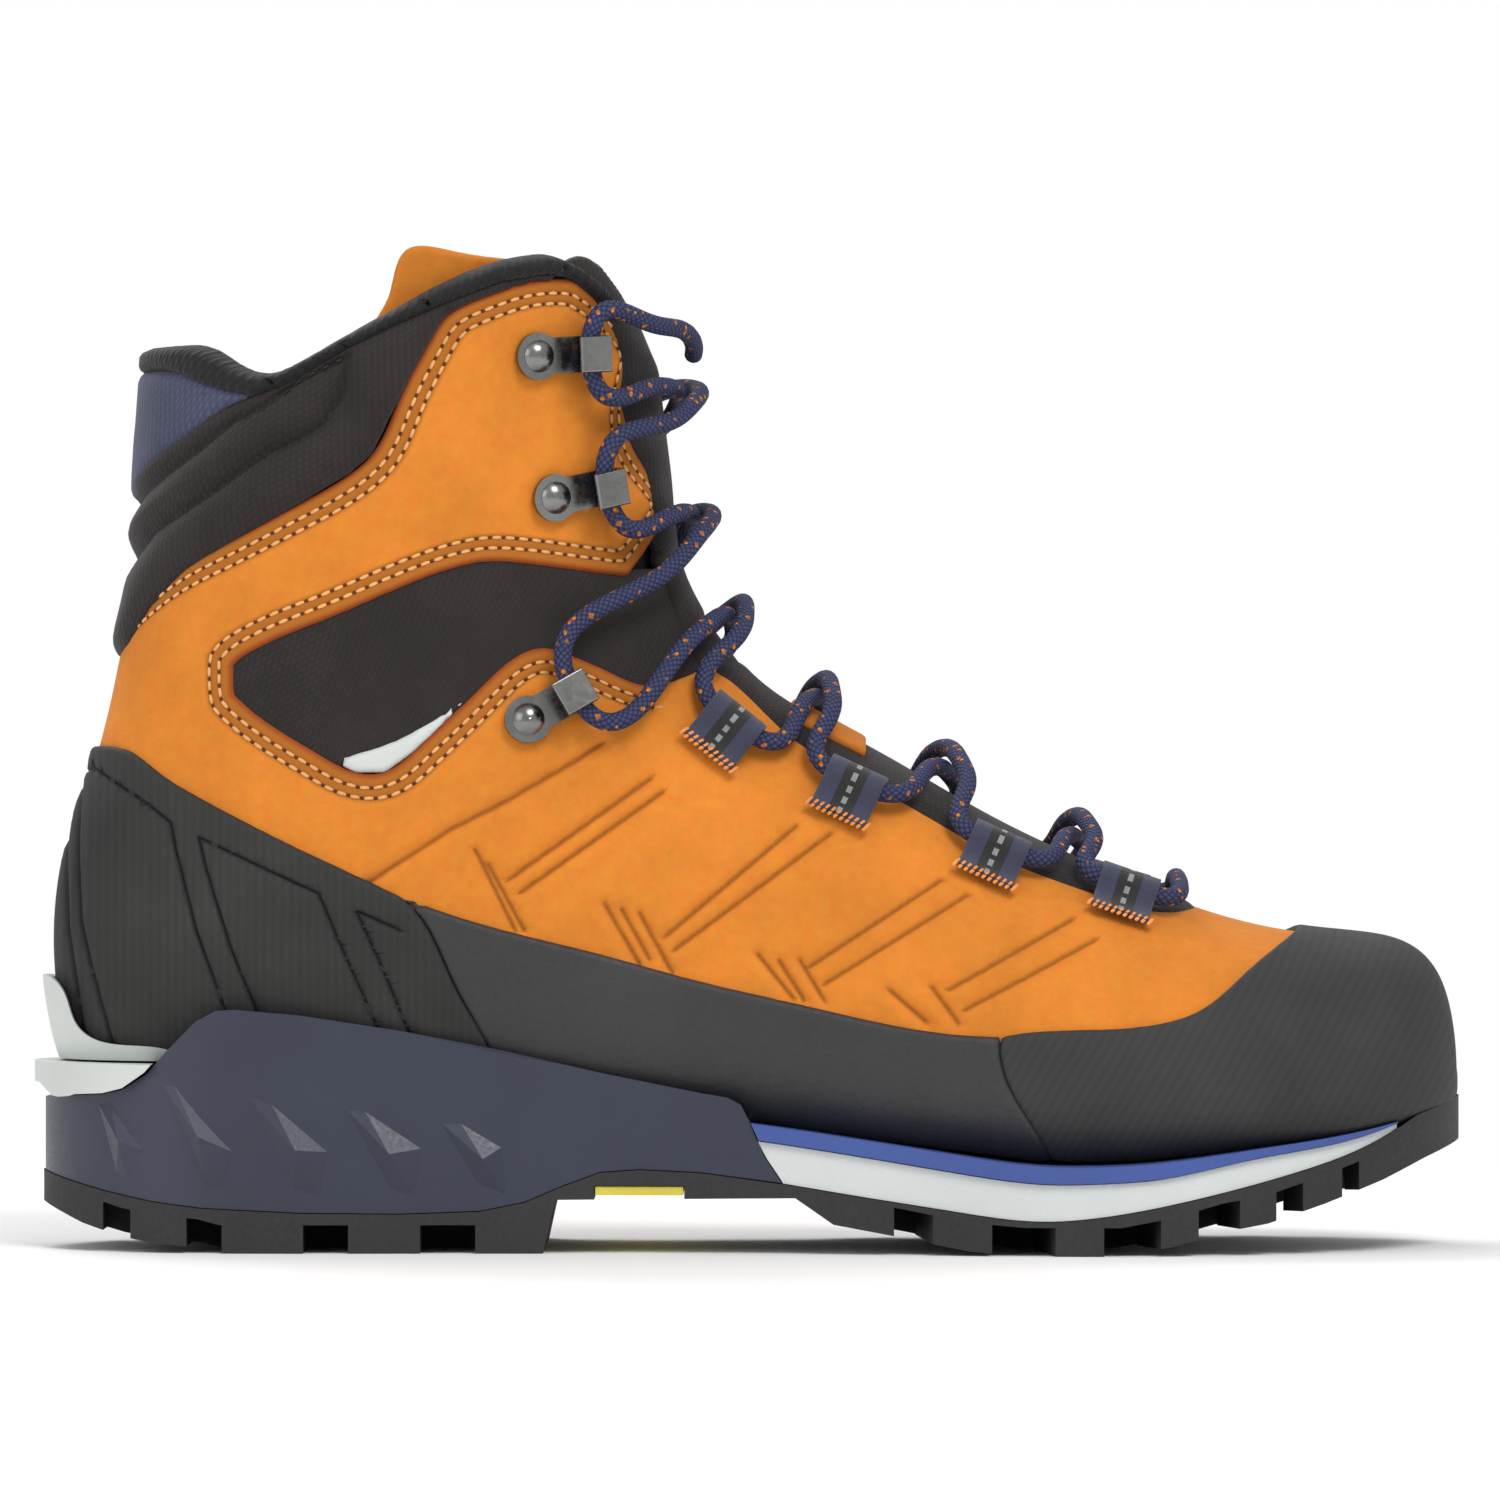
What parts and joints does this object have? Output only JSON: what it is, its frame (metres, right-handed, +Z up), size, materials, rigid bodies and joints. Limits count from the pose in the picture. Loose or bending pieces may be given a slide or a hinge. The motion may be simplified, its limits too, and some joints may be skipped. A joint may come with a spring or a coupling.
{
  "type": "mountaineering boot",
  "caption": "High stiff-soled mountaineering boot for the right foot, in leather and softshell, with rubber rands, crampon ledges, a lugged outsole, hooks, webbing loops and a round lace.",
  "frame": {"origin": "on the ground, under the centre of the heel", "axes": "+X to the toe, +Y to the inner (medial) side, +Z up; millimetre part script, metres here"},
  "size_m": [0.3044, 0.1093, 0.2118],
  "materials": {
    "black_rubber": "matte",
    "rand_rubber": "matte, textured",
    "yellow_rubber": "matte",
    "navy_plastic": "satin, faceted",
    "grey_plastic": "matte",
    "white_foam": "matte foam",
    "blue_foam": "matte foam",
    "stiff_board": "matte",
    "spring_steel": "bare",
    "orange_nubuck": "nubuck",
    "dark_softshell": "stretch weave",
    "navy_softshell": "stretch weave",
    "black_mesh": "mesh",
    "black_lining": "soft lining",
    "membrane": "film on knit",
    "foam_pad": "open foam",
    "gunmetal": "dark nickel",
    "webbing": "woven",
    "cord": "braided"
  },
  "bodies": {
    "lower": {"outsole": "black_rubber", "arch_insert": "yellow_rubber", "heel_frame": "navy_plastic", "heel_core": "white_foam", "shank": "spring_steel", "midsole": "white_foam", "midsole_stripe": "blue_foam", "heel_cup": "grey_plastic", "crampon_ledge": "grey_plastic", "toe_rand": "rand_rubber", "side_rand": "rand_rubber", "heel_rand": "rand_rubber", "vamp_leather": "orange_nubuck", "ankle_softshell": "dark_softshell", "ankle_accent": "grey_plastic", "tongue_lower": "dark_softshell", "tongue_patch": "orange_nubuck", "membrane_bootie": "membrane", "foot_lining": "black_lining", "ankle_lining": "black_lining", "heel_counter": "stiff_board", "toe_puff": "stiff_board", "lasting_board": "stiff_board", "ankle_hooks": "gunmetal", "ankle_rivets": "gunmetal", "lace_loops_outer": "webbing", "lace_loops_inner": "webbing", "lace": "cord"},
    "cuff": {"cuff_leather": "orange_nubuck", "collar": "dark_softshell", "heel_collar_panel": "navy_softshell", "collar_rim": "black_mesh", "cuff_lining": "black_lining", "collar_foam": "foam_pad", "cuff_hooks": "gunmetal", "cuff_rivets": "gunmetal"},
    "tongue": {"tongue_upper": "dark_softshell", "tongue_lining": "black_lining", "tongue_top_flap": "orange_nubuck"},
    "insole": {"footbed": "foam_pad"}
  },
  "joints": [
    {"name": "ankle_flex", "type": "hinge", "parent": "lower", "child": "cuff", "pos_m": [-0.028, 0, 0.119], "axis": [0, 1, 0], "range_deg": [-6, 8], "deforming": ["ankle_softshell", "ankle_lining", "membrane_bootie", "tongue_lower", "lace"]},
    {"name": "tongue_tilt", "type": "hinge", "parent": "cuff", "child": "tongue", "pos_m": [0.076, 0, 0.146], "axis": [0, 1, 0], "range_deg": [-4, 0], "deforming": ["tongue_upper"]},
    {"name": "footbed_lift", "type": "hinge", "parent": "lower", "child": "insole", "pos_m": [0.231, 0, 0.041], "axis": [0, 1, 0], "range_deg": [0, 8]}
  ]
}
